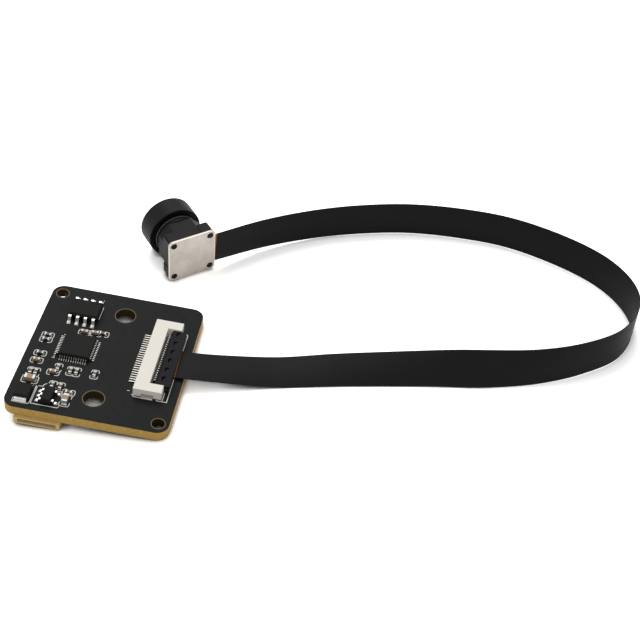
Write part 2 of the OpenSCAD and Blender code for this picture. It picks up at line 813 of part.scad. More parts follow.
module lens_spacer() {
    inner = barrel_bore / 2;
    color([0.2, 0.2, 0.2]) on_axis(0)
        turned([[inner - 0.6, barrel_y + 1.6], [inner - slip, barrel_y + 1.6],
                [inner - slip, glass_seat - 1.2],
                [inner - 0.6, glass_seat - 1.2]]);
}

module rear_lens_glass() {
    color([0.6, 0.75, 0.8, 0.5]) on_axis(barrel_y + 0.5)
        cylinder(h = 1.1 - slip, d = barrel_bore - 2 * slip);
}

// A thick glass with a domed front and a cupped back
module front_lens_glass() {
    edge = glass_seat + 0.5;
    color([0.35, 0.45, 0.5, 0.6]) on_axis(0) difference() {
        union() {
            translate([0, 0, glass_seat])
                cylinder(h = edge - glass_seat, r = dome_edge_r, $fn = 96);
            intersection() {
                translate([0, 0, edge + dome_rise - dome_r])
                    sphere(r = dome_r, $fn = 96);
                translate([0, 0, edge - cut])
                    cylinder(h = dome_rise + 2 * cut, r = dome_edge_r,
                             $fn = 96);
            }
        }
        translate([0, 0, glass_seat - 1]) sphere(r = 1.9, $fn = 96);
    }
}

module lens_ring() {
    outer = ring_d / 2;
    rim = outer - ring_wall;
    corner = [outer - ring_round, ring_front - ring_round];
    rounded = [for (a = [0 : 15 : 90])
        corner + ring_round * [cos(a), sin(a)]];
    bore = hub_r + slip; // slides over the barrel's stem
    back = [[bore, ring_y], [outer - ring_chamfer, ring_y],
            [outer, ring_y + ring_chamfer]];
    front = [[rim, ring_front], [rim - 0.1 + slip, glass_seat + 0.6],
             [rim - 0.1, glass_seat - 0.1], [bore, glass_seat - 0.1]];
    color([0.1, 0.1, 0.11]) on_axis(0) turned(concat(back, rounded, front));
}

// ----------------------------------------------------------------- nodes

circuit_board();
flex_socket_housing();
flex_socket_latch();
flex_socket_contacts();
flex_socket_tabs();
memory_chip_body();
memory_chip_leads();
controller_chip_body();
controller_chip_leads();
regulator_body();
regulator_leads();
diode_body();
diode_terminals();
capacitor_bodies();
resistor_bodies();
chip_part_ends();
cable_socket_housing();
cable_socket_pins();
cable_socket_tabs();
ribbon_tail();
ribbon();
head_back_plate();
head_flex();
image_sensor();
filter_glass();
lens_holder();
lens_barrel();
lens_spacer();
rear_lens_glass();
front_lens_glass();
lens_ring();
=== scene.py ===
"""Dresses the wide-angle camera module: its ribbon, solder, print, finishes, light and camera."""

import logging
import math
from collections.abc import Iterable, Sequence
from dataclasses import dataclass
from enum import Enum
from typing import Any

import bmesh
import bpy
from mathutils import Matrix, Vector

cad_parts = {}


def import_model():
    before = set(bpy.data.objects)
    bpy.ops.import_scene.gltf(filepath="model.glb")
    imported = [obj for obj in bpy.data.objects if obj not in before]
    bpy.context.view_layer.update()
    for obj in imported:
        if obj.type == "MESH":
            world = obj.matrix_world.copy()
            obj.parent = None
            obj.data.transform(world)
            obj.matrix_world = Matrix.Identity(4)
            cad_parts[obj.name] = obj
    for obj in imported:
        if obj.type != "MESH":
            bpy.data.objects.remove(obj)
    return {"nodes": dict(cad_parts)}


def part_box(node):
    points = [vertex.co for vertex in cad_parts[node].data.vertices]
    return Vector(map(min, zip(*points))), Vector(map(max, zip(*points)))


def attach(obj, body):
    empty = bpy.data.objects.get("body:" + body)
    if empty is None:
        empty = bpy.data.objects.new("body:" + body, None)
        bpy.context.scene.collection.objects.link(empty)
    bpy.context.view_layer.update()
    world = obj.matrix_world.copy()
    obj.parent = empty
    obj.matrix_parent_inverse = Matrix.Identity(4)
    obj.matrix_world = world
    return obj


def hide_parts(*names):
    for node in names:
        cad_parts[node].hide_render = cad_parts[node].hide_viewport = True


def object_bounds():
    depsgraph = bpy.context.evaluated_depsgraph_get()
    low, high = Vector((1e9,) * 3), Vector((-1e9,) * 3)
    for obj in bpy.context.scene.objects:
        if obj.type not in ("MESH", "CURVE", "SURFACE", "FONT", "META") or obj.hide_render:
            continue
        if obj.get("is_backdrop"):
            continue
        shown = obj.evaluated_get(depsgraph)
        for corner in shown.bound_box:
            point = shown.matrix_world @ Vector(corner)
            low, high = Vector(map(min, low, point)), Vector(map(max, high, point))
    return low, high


log = logging.getLogger("camera_module")

MM = 0.001
MODULE = "module"

Color = tuple[int, int, int]
Flat = tuple[float, float]
Point = tuple[float, float, float]


# ------------------------------------------------------------------ outlines


def oval(half_x: float, half_y: float, corner: float, steps: int = 4) -> list[Flat]:
    """Gives the outline of a rectangle with round corners, anticlockwise.

    Args:
        half_x: half of its length along x.
        half_y: half of its length along y.
        corner: radius of its corners.
        steps: straight pieces in each corner.

    Returns:
        The outline's points.
    """
    corner = min(corner, half_x, half_y)
    points = []
    for sx, sy, start in ((1, 1, 0), (-1, 1, 90), (-1, -1, 180), (1, -1, 270)):
        for step in range(steps + 1):
            angle = math.radians(start + 90 * step / steps)
            x = sx * (half_x - corner) + corner * math.cos(angle)
            y = sy * (half_y - corner) + corner * math.sin(angle)
            points.append((x, y))
    return points


def circle(radius: float, count: int = 40) -> list[Flat]:
    """Gives a circle's points, anticlockwise."""
    turns = (2 * math.pi * i / count for i in range(count))
    return [(radius * math.cos(turn), radius * math.sin(turn)) for turn in turns]


def raised(outline: Iterable[Flat], centre: Flat, height: float) -> list[Point]:
    """Moves a flat outline to a centre and a height."""
    return [(centre[0] + x, centre[1] + y, height) for x, y in outline]


@dataclass(frozen=True)
class Box:
    """A box along the axes of the frame that it was measured in, in millimetres."""

    low: Vector
    high: Vector

    @property
    def centre(self) -> Vector:
        """The box's middle."""
        return (self.low + self.high) / 2

    @property
    def size(self) -> Vector:
        """The box's lengths along the three axes."""
        return self.high - self.low

    def joined(self, other: "Box") -> "Box":
        """Gives the box round this one and another."""
        low = Vector(map(min, self.low, other.low))
        high = Vector(map(max, self.high, other.high))
        return Box(low, high)

    def holds(self, point: Flat, margin: float) -> bool:
        """Says whether a point is over the box or within a margin of it."""
        return all(
            self.low[i] - margin < point[i] < self.high[i] + margin for i in range(2)
        )


# ------------------------------------------------------------------ the frame


class Frame:
    """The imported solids, with the places that the dressing is measured from."""

    def __init__(self) -> None:
        """Loads the solids and keeps their box."""
        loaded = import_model()
        self.nodes: dict[str, bpy.types.Object] = loaded["nodes"]
        self.cad_box = self.bounds()
        self.board = self._board()
        self.head = self._head()

    @staticmethod
    def bounds() -> list[list[float]]:
        """Gives the lowest and highest corner of all that is shown, as lists."""
        return [list(corner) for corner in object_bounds()]

    @staticmethod
    def _board() -> Matrix:
        """The board's frame in millimetres: middle of its underside, z out of its top."""
        low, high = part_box("circuit_board")
        lean = Matrix.Rotation(math.radians(BoardPlace.lean), 4, "Y")
        drop = Matrix.Translation((0, 0, -BoardPlace.thick / 2))
        return Matrix.Translation((low + high) / 2) @ lean @ Matrix.Scale(MM, 4) @ drop

    @staticmethod
    def _head() -> Matrix:
        """The head's frame in millimetres: middle of its back plate, z to the lens's front."""
        place = Matrix.Translation(Vector((*HeadPlace.at, 0)) * MM)
        turn = Matrix.Rotation(math.radians(HeadPlace.turn), 4, "Z")
        lean = Matrix.Rotation(math.radians(HeadPlace.lean), 4, "X")
        up = Matrix.Translation((0, 0, HeadPlace.axis))
        axis = Matrix.Rotation(-math.pi / 2, 4, "X")
        return place @ turn @ lean @ Matrix.Scale(MM, 4) @ up @ axis

    def solids(self, node: str, place: Matrix) -> list[Box]:
        """Measures each separate solid of a CAD node.

        Args:
            node: the CAD node's name.
            place: the frame to measure in.

        Returns:
            One box for each solid.
        """
        inverse = place.inverted()
        mesh = bmesh.new()
        mesh.from_mesh(self.nodes[node].data)
        bmesh.ops.remove_doubles(mesh, verts=mesh.verts, dist=1e-7)
        left = set(mesh.verts)
        boxes = []
        while left:
            island = [left.pop()]
            for vert in island:
                near = {edge.other_vert(vert) for edge in vert.link_edges} & left
                left -= near
                island.extend(near)
            points = [inverse @ vert.co for vert in island]
            low = Vector(map(min, *points))
            high = Vector(map(max, *points))
            boxes.append(Box(low, high))
        mesh.free()
        return sorted(boxes, key=lambda box: tuple(box.centre))


class BoardPlace:
    """How the board lies, in millimetres and degrees."""

    lean = 4.289
    thick = 1.6
    half_x = 12.5
    half_y = 14.0


class HeadPlace:
    """How the camera head stands, in millimetres and degrees."""

    at = (7.9402, 14.2615)
    turn = 38.3
    lean = 3.842
    axis = 4.3


class Workpiece:
    """A mesh in the making, in the millimetres of one frame."""

    def __init__(self, place: Matrix) -> None:
        """Starts an empty mesh.

        Args:
            place: the frame, from its millimetres to the model's metres.
        """
        self.place = place
        self.mesh = bmesh.new()

    def loft(
        self,
        rings: Sequence[Sequence[Point]],
        capped: bool = True,
        looped: bool = False,
    ) -> None:
        """Skins a row of rings that have the same number of points.

        Args:
            rings: the rings, in order.
            capped: closes the first and the last ring with a face.
            looped: joins the last ring to the first.
        """
        rows = [[self.mesh.verts.new(self.place @ Vector(p)) for p in r] for r in rings]
        pairs = list(zip(rows, rows[1:]))
        if looped:
            pairs.append((rows[-1], rows[0]))
        for one, two in pairs:
            for i in range(len(one)):
                j = (i + 1) % len(one)
                self.mesh.faces.new((one[i], one[j], two[j], two[i]))
        if capped and not looped:
            self.mesh.faces.new(rows[0][::-1])
            self.mesh.faces.new(rows[-1])

    def line(self, route: Sequence[Flat], width: float, low: float, high: float) -> None:
        """Lays a flat raised line on the face z = low.

        Args:
            route: its corners; it is closed where the last is the first again.
            width: its width.
            low: height of its underside.
            high: height of its top.
        """
        looped = route[0] == route[-1] and len(route) > 3
        points = [Vector(p) for p in (route[:-1] if looped else route)]
        count = len(points)
        rings = []
        for i, point in enumerate(points):
            before = points[i - 1] if looped or i else point
            after = points[(i + 1) % count] if looped or i < count - 1 else point
            back = (point - before).normalized()
            ahead = (after - point).normalized()
            along = (back + ahead).normalized()
            mitre = max(0.5, along.dot(ahead if ahead.length else back))
            side = Vector((-along.y, along.x)) * width / 2 / mitre
            one, two = point - side, point + side
            rings.append(
                [(*one, low), (*two, low), (*two, high), (*one, high)],
            )
        self.loft(rings, looped=looped)

    def turned(
        self, centre: Flat, profile: Sequence[Flat], count: int = 40, looped: bool = False
    ) -> None:
        """Turns a profile of (radius, height) points about an upright axis.

        Args:
            centre: where the axis is.
            profile: the profile's points.
            count: straight pieces round the axis.
            looped: closes the profile, as for a ring.
        """
        rings = [raised(circle(r, count), centre, z) for r, z in profile]
        self.loft(rings, looped=looped)

    def made(
        self,
        name: str,
        finish: "Finish",
        body: str = MODULE,
        smooth: float = 30.0,
    ) -> bpy.types.Object:
        """Ends the mesh and makes a piece of it.

        Args:
            name: the piece's name.
            finish: its finish.
            body: the CAD body that it rides on.
            smooth: sharpest angle in degrees that is shaded smooth.

        Returns:
            The piece.
        """
        bmesh.ops.recalc_face_normals(self.mesh, faces=self.mesh.faces)
        data = bpy.data.meshes.new(name)
        self.mesh.to_mesh(data)
        self.mesh.free()
        data.shade_smooth()
        data.set_sharp_from_angle(angle=math.radians(smooth))
        piece = bpy.data.objects.new(name, data)
        bpy.context.scene.collection.objects.link(piece)
        data.materials.append(finish.material())
        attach(piece, body)
        log.info("%s: %d faces on %s", name, len(data.polygons), body)
        return piece


# ------------------------------------------------------------------ finishes


class Wiring:
    """Adds and joins nodes in one tree."""

    def __init__(self, tree: bpy.types.NodeTree) -> None:
        """Takes the tree that it works on."""
        self.tree = tree

    def add(
        self, kind: str, inputs: dict[Any, Any] | None = None, **settings: Any
    ) -> bpy.types.Node:
        """Adds a node.

        Args:
            kind: the node's type, without its leading ShaderNode.
            inputs: a socket to join or a value, for each input's name or number.
            **settings: the node's own properties.

        Returns:
            The node.
        """
        node = self.tree.nodes.new("ShaderNode" + kind)
        for name, value in settings.items():
            setattr(node, name, value)
        for key, value in (inputs or {}).items():
            if isinstance(value, bpy.types.NodeSocket):
                self.tree.links.new(value, node.inputs[key])
            else:
                node.inputs[key].default_value = value
        return node

    def math(self, operation: str, *values: Any, clamp: bool = False) -> Any:
        """Adds a Math node and gives its result."""
        inputs = dict(enumerate(values))
        return self.add("Math", inputs, operation=operation, use_clamp=clamp).outputs[0]

    def vector(self, operation: str, one: Any, two: Any = None) -> bpy.types.Node:
        """Adds a Vector Math node; a scale takes its second value as a factor."""
        inputs = {0: one}
        if two is not None:
            inputs["Scale" if operation == "SCALE" else 1] = two
        return self.add("VectorMath", inputs, operation=operation)

    def mix(self, factor: Any, one: Any, two: Any) -> Any:
        """Mixes two colours and gives the result."""
        inputs = {0: factor, 6: one, 7: two}
        return self.add("Mix", inputs, data_type="RGBA").outputs[2]

    def noise(self, vector: Any, scale: float, detail: float, soft: float = 0.5) -> Any:
        """Adds a noise and gives its value."""
        inputs = {"Vector": vector, "Scale": scale, "Detail": detail, "Roughness": soft}
        return self.add("TexNoise", inputs).outputs[0]

    def span(self, value: Any, low: float, high: float) -> Any:
        """Spreads the values between low and high over 0 to 1."""
        inputs = {"Value": value, "From Min": low, "From Max": high}
        return self.add("MapRange", inputs, interpolation_type="SMOOTHSTEP").outputs[0]


class Effect(Enum):
    """The shader node groups that the finishes share."""

    GRAIN = "fine_grain"
    EDGES = "soft_edges"
    DUST = "settled_dust"

    def group(self) -> bpy.types.NodeTree:
        """Gives the node group, built the first time that it is asked for."""
        found = bpy.data.node_groups.get(self.value)
        if found is None:
            found = {
                Effect.GRAIN: grain_group,
                Effect.EDGES: edges_group,
                Effect.DUST: dust_group,
            }[self]()
        return found


def new_group(
    effect: Effect, takes: dict[str, str], gives: dict[str, str]
) -> tuple[Wiring, bpy.types.Node, bpy.types.Node]:
    """Starts a node group.

    Args:
        effect: the effect that it is for.
        takes: kind of each input socket.
        gives: kind of each output socket.

    Returns:
        The wiring, the group's input node and its output node.
    """
    tree = bpy.data.node_groups.new(effect.value, "ShaderNodeTree")
    for name, kind in takes.items():
        tree.interface.new_socket(
            name=name, in_out="INPUT", socket_type="NodeSocket" + kind
        )
    for name, kind in gives.items():
        tree.interface.new_socket(
            name=name, in_out="OUTPUT", socket_type="NodeSocket" + kind
        )
    wiring = Wiring(tree)
    start = tree.nodes.new("NodeGroupInput")
    end = tree.nodes.new("NodeGroupOutput")
    return wiring, start, end


def grain_group() -> bpy.types.NodeTree:
    """Builds a fine grain over broad clouds, for colour, roughness and relief."""
    takes = {
        "Vector": "Vector",
        "Color": "Color",
        "Spread": "Float",
        "Size": "Float",
        "Roughness": "Float",
        "Roughness Spread": "Float",
    }
    gives = {"Color": "Color", "Roughness": "Float", "Height": "Float"}
    wiring, start, end = new_group(Effect.GRAIN, takes, gives)
    given = start.outputs
    per_metre = wiring.math("DIVIDE", 1.0, given["Size"])
    vector = wiring.vector("SCALE", given["Vector"], per_metre).outputs[0]
    fine = wiring.noise(vector, 1.0, 3.0, 0.6)
    broad = wiring.noise(vector, 0.06, 3.0, 0.55)
    both = wiring.math("ADD", fine, broad)
    swing = wiring.math("MULTIPLY_ADD", both, 2.0, -2.0)
    change = wiring.math("MULTIPLY_ADD", swing, given["Spread"], 1.0)
    color = wiring.vector("SCALE", given["Color"], change).outputs[0]
    swing = wiring.math("MULTIPLY", swing, given["Roughness Spread"])
    rough = wiring.math("ADD", swing, given["Roughness"], clamp=True)
    for name, value in (("Color", color), ("Roughness", rough), ("Height", fine)):
        wiring.tree.links.new(value, end.inputs[name])
    return wiring.tree


def edges_group() -> bpy.types.NodeTree:
    """Builds rounded edges, with a mask of where they are."""
    wiring, start, end = new_group(
        Effect.EDGES, {"Radius": "Float"}, {"Normal": "Vector", "Edge": "Float"}
    )
    bevel = wiring.add("Bevel", {"Radius": start.outputs["Radius"]}, samples=6)
    true = wiring.add("NewGeometry").outputs["Normal"]
    meets = wiring.vector("DOT_PRODUCT", bevel.outputs[0], true).outputs["Value"]
    turned = wiring.math("SUBTRACT", 1.0, meets, clamp=True)
    edge = wiring.span(turned, 0.01, 0.22)
    wiring.tree.links.new(bevel.outputs[0], end.inputs["Normal"])
    wiring.tree.links.new(edge, end.inputs["Edge"])
    return wiring.tree


def dust_group() -> bpy.types.NodeTree:
    """Builds specks of pale dust on the faces that look up."""
    takes = {"Vector": "Vector", "Color": "Color", "Dust": "Color", "Amount": "Float"}
    wiring, start, end = new_group(Effect.DUST, takes, {"Color": "Color"})
    given = start.outputs
    specks = wiring.span(wiring.noise(given["Vector"], 2600.0, 2.0, 0.6), 0.66, 0.8)
    film = wiring.noise(given["Vector"], 180.0, 4.0, 0.6)
    normal = wiring.add("NewGeometry").outputs["Normal"]
    up = wiring.add("SeparateXYZ", {0: normal}).outputs[2]
    lies = wiring.span(up, 0.2, 0.9)
    both = wiring.math("MULTIPLY_ADD", film, 0.25, specks)
    mask = wiring.math("MULTIPLY", both, lies)
    mask = wiring.math("MULTIPLY", mask, given["Amount"], clamp=True)
    color = wiring.mix(mask, given["Color"], given["Dust"])
    wiring.tree.links.new(color, end.inputs["Color"])
    return wiring.tree


def tint(color: Color) -> tuple[float, float, float, float]:
    """Turns a colour of 0 to 255 as it is seen into a shader's linear colour."""
    parts = (c / 255 for c in color)
    linear = (p / 12.92 if p <= 0.04045 else ((p + 0.055) / 1.055) ** 2.4 for p in parts)
    return (*linear, 1.0)


class Shade:
    """The plain colours inside the patterns; several of them are painted shade, each marked."""

    dust = (150, 148, 144)
    # painted shade on the thin contacts' flat sides
    painted_side_shade = (26, 25, 24)
    # painted shade on the turned rear faces of the ring and the barrel
    painted_back_shade = (9, 9, 10)
    film_coat = (22, 22, 23)
    # painted shade on the tail's cut end beside the ribbon, under the latch
    shaded_cut_end = (64, 44, 24)
    # painted shade on the upward faces of the head flex's edge
    film_top_shade = (52, 42, 34)
    bare_film = (146, 96, 40)
    # painted shade inside the board's holes
    shaded_hole_wall = (52, 42, 22)
    dark_tan = (172, 134, 62)
    light_tan = (214, 180, 106)


class Pattern(Enum):
    """What a finish's grain runs along, and the pattern that it adds to its colour; some of these
    patterns paint shade.
    """

    EVEN = "even"
    TURNED = "turned"
    LAMINATE = "laminate"
    FILM = "film"
    CUT_FILM = "cut film"
    SHADED_TOP_FILM = "lined film"
    BLADE = "blade"


@dataclass(frozen=True)
class Finish:
    """One finish: its colour, gloss, grain, edges with an optional painted edge highlight, and
    dust; lengths are in millimetres.
    """

    name: str
    color: Color
    rough: float = 0.6
    metal: float = 0.0
    specular: float = 0.5
    coat: float = 0.0
    spread: float = 0.08
    rough_spread: float = 0.06
    grain: float = 0.12
    relief: float = 0.004
    edge: float = 0.05
    edge_highlight: Color | None = None
    dust: float = 0.0
    glass: float = 0.0
    pattern: Pattern = Pattern.EVEN

    def material(self) -> bpy.types.Material:
        """Gives the finish's material, built the first time that it is asked for."""
        found = bpy.data.materials.get("finish_" + self.name)
        return found or self._build()

    def _build(self) -> bpy.types.Material:
        """Builds the material's nodes."""
        material = bpy.data.materials.new("finish_" + self.name)
        material.use_nodes = True
        material.node_tree.nodes.clear()
        wiring = Wiring(material.node_tree)
        vector = self._vector(wiring)
        grain = self._effect(
            wiring,
            Effect.GRAIN,
            {
                "Vector": vector,
                "Color": tint(self.color),
                "Spread": self.spread,
                "Size": self.grain * MM,
                "Roughness": self.rough,
                "Roughness Spread": self.rough_spread,
            },
        )
        edges = self._effect(wiring, Effect.EDGES, {"Radius": self.edge * MM})
        color = self._pattern(wiring, grain["Color"])
        # painted highlight: the rounded edges are lightened towards the edge highlight colour
        if self.edge_highlight:
            color = wiring.mix(edges["Edge"], color, tint(self.edge_highlight))
        if self.dust:
            specks = {
                "Vector": vector,
                "Color": color,
                "Dust": tint(Shade.dust),
                "Amount": self.dust,
            }
            color = self._effect(wiring, Effect.DUST, specks)["Color"]
        bump = wiring.add(
            "Bump",
            {
                "Height": grain["Height"],
                "Normal": edges["Normal"],
                "Distance": self.relief * MM,
                "Strength": 1.0,
            },
        )
        shader = wiring.add(
            "BsdfPrincipled",
            {
                "Base Color": color,
                "Roughness": grain["Roughness"],
                "Normal": bump.outputs[0],
                "Metallic": self.metal,
                "Specular IOR Level": self.specular,
                "Coat Weight": self.coat,
                "Coat Roughness": 0.12,
                "Transmission Weight": self.glass,
            },
        )
        wiring.add("OutputMaterial", {"Surface": shader.outputs[0]})
        return material

    @staticmethod
    def _effect(
        wiring: Wiring, effect: Effect, values: dict[str, Any]
    ) -> bpy.types.NodeOutputs:
        """Places an effect's group and gives its outputs."""
        node = wiring.add("Group", node_tree=effect.group())
        for name, value in values.items():
            if isinstance(value, bpy.types.NodeSocket):
                wiring.tree.links.new(value, node.inputs[name])
            else:
                node.inputs[name].default_value = value
        return node.outputs

    def _vector(self, wiring: Wiring) -> Any:
        """Gives the coordinates that the grain runs in."""
        coordinates = wiring.add("TexCoord").outputs["Object"]
        if self.pattern is Pattern.TURNED:
            inputs = {
                "Vector": coordinates,
                "Location": Vector((*HeadPlace.at, HeadPlace.axis)) * MM,
                "Rotation": (
                    math.radians(HeadPlace.lean),
                    0.0,
                    math.radians(HeadPlace.turn),
                ),
            }
            local = wiring.add("Mapping", inputs, vector_type="TEXTURE").outputs[0]
            parts = wiring.add("SeparateXYZ", {0: local}).outputs
            across = wiring.add("CombineXYZ", {0: parts[0], 1: parts[2]}).outputs[0]
            radius = wiring.vector("LENGTH", across).outputs["Value"]
            inputs = {0: radius, 1: wiring.math("MULTIPLY", parts[1], 4.0)}
            return wiring.add("CombineXYZ", inputs).outputs[0]
        return coordinates

    def _pattern(self, wiring: Wiring, color: Any) -> Any:
        """Adds the finish's own pattern to its colour."""
        added = {
            Pattern.LAMINATE: self._laminate,
            Pattern.FILM: self._film,
            Pattern.TURNED: self._shaded_back,
            Pattern.CUT_FILM: self._cut_film,
            Pattern.SHADED_TOP_FILM: self._shaded_film_top,
            Pattern.BLADE: self._painted_blade_sides,
        }.get(self.pattern)
        return added(wiring, color) if added else color

    @staticmethod
    def _painted_blade_sides(wiring: Wiring, color: Any) -> Any:
        """Paints shade on the flat sides of a row of thin contacts, which face sideways towards
        dark neighbours.
        """
        normal = wiring.add("TexCoord").outputs["Normal"]
        across = wiring.add("SeparateXYZ", {0: normal}).outputs[1]
        side = wiring.math("GREATER_THAN", wiring.math("ABSOLUTE", across), 0.5)
        return wiring.mix(side, color, tint(Shade.painted_side_shade))

    @staticmethod
    def _shaded_back(wiring: Wiring, color: Any) -> Any:
        """Paints shade: blackens the turned faces that look back at the head's plate, for the shade
        on the recessed rear faces of the ring and the barrel.
        """
        turn = Matrix.Rotation(math.radians(HeadPlace.turn), 3, "Z")
        tip = Matrix.Rotation(math.radians(HeadPlace.lean), 3, "X")
        axis = turn @ tip @ Vector((0, 1, 0))
        normal = wiring.add("TexCoord").outputs["Normal"]
        facing = wiring.vector("DOT_PRODUCT", normal, axis).outputs["Value"]
        back = wiring.math("LESS_THAN", facing, -0.8)
        return wiring.mix(back, color, tint(Shade.painted_back_shade))

    @staticmethod
    def _cut_film(wiring: Wiring, color: Any) -> Any:
        """Leaves the film bare at its cut end under the ribbon and coats its other faces; beside
        the ribbon the cut end gets a dark brown, painted shade under the latch.
        """
        coordinates = wiring.add("TexCoord").outputs
        facing = wiring.add("SeparateXYZ", {0: coordinates["Normal"]}).outputs[0]
        place = wiring.add("SeparateXYZ", {0: coordinates["Object"]}).outputs[1]
        middle = (Ribbon.route[0][1] - Ribbon.origin[1]) * MM
        off = wiring.math("ABSOLUTE", wiring.math("SUBTRACT", place, middle))
        end = wiring.math("GREATER_THAN", facing, 0.5)
        bare = wiring.math("LESS_THAN", off, Ribbon.width / 2 * MM)
        # coat colour on the faces; painted shade on the cut end beside the ribbon
        coat = wiring.mix(end, tint(Shade.film_coat), tint(Shade.shaded_cut_end))
        return wiring.mix(wiring.math("MULTIPLY", end, bare), coat, color)

    @staticmethod
    def _shaded_film_top(wiring: Wiring, color: Any) -> Any:
        """Paints shade on the film's upper edge: the faces that look up, in the narrow gap between
        the plate and the holder, are darkened.
        """
        normal = wiring.add("TexCoord").outputs["Normal"]
        up = wiring.add("SeparateXYZ", {0: normal}).outputs[2]
        upper = wiring.math("GREATER_THAN", up, 0.5)
        return wiring.mix(upper, color, tint(Shade.film_top_shade))

    @staticmethod
    def _film(wiring: Wiring, color: Any) -> Any:
        """Adds the faint tracks along a printed film and bares its two ends."""
        lay = wiring.add("UVMap", uv_map="lay").outputs[0]
        along, across, _ = wiring.add("SeparateXYZ", {0: lay}).outputs
        wave = wiring.math("SINE", wiring.math("MULTIPLY", across, 2 * math.pi * 24))
        inside = wiring.math("LESS_THAN", wiring.math("ABSOLUTE", across), 0.46)
        track = wiring.math("MULTIPLY", wiring.span(wave, 0.0, 0.6), inside)
        coated = wiring.mix(wiring.math("MULTIPLY", track, 0.1), color, (0, 0, 0, 1))
        stretches = len(Ribbon.route) - 1
        start = wiring.math("LESS_THAN", along, Ribbon.bare_start)
        end = wiring.math("GREATER_THAN", along, stretches - Ribbon.bare_end)
        bare = wiring.math("MAXIMUM", start, end)
        return wiring.mix(bare, coated, tint(Shade.bare_film))

    @staticmethod
    def _laminate(wiring: Wiring, color: Any) -> Any:
        """Bares the glass laminate at the board's cut edges and in its holes; the hole walls get a
        dark brown that paints the shade inside the holes.
        """
        coordinates = wiring.add("TexCoord").outputs
        low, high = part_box("circuit_board")
        inputs = {
            "Vector": coordinates["Object"],
            "Location": (low + high) / 2,
            "Rotation": (0.0, math.radians(BoardPlace.lean), 0.0),
            "Scale": (MM, MM, MM),
        }
        local = wiring.add("Mapping", inputs, vector_type="TEXTURE").outputs[0]
        x, y, z = wiring.add("SeparateXYZ", {0: local}).outputs
        up = Matrix.Rotation(math.radians(BoardPlace.lean), 3, "Y") @ Vector((0, 0, 1))
        facing = wiring.vector("DOT_PRODUCT", coordinates["Normal"], up).outputs["Value"]
        wall = wiring.math("LESS_THAN", wiring.math("ABSOLUTE", facing), 0.5)
        past_x = wiring.math("SUBTRACT", wiring.math("ABSOLUTE", x), BoardPlace.half_x)
        past_y = wiring.math("SUBTRACT", wiring.math("ABSOLUTE", y), BoardPlace.half_y)
        outer = wiring.math("GREATER_THAN", wiring.math("MAXIMUM", past_x, past_y), -0.62)
        stretched = wiring.add(
            "CombineXYZ", {0: wiring.math("ADD", x, y), 1: wiring.math("MULTIPLY", z, 7)}
        ).outputs[0]
        weave = wiring.noise(stretched, 1.6, 4.0, 0.65)
        tan = wiring.mix(
            wiring.span(weave, 0.3, 0.72), tint(Shade.dark_tan), tint(Shade.light_tan)
        )
        # the hole walls get the painted shade colour, the outer edges the tan laminate
        cut = wiring.mix(outer, tint(Shade.shaded_hole_wall), tan)
        return wiring.mix(wall, color, cut)


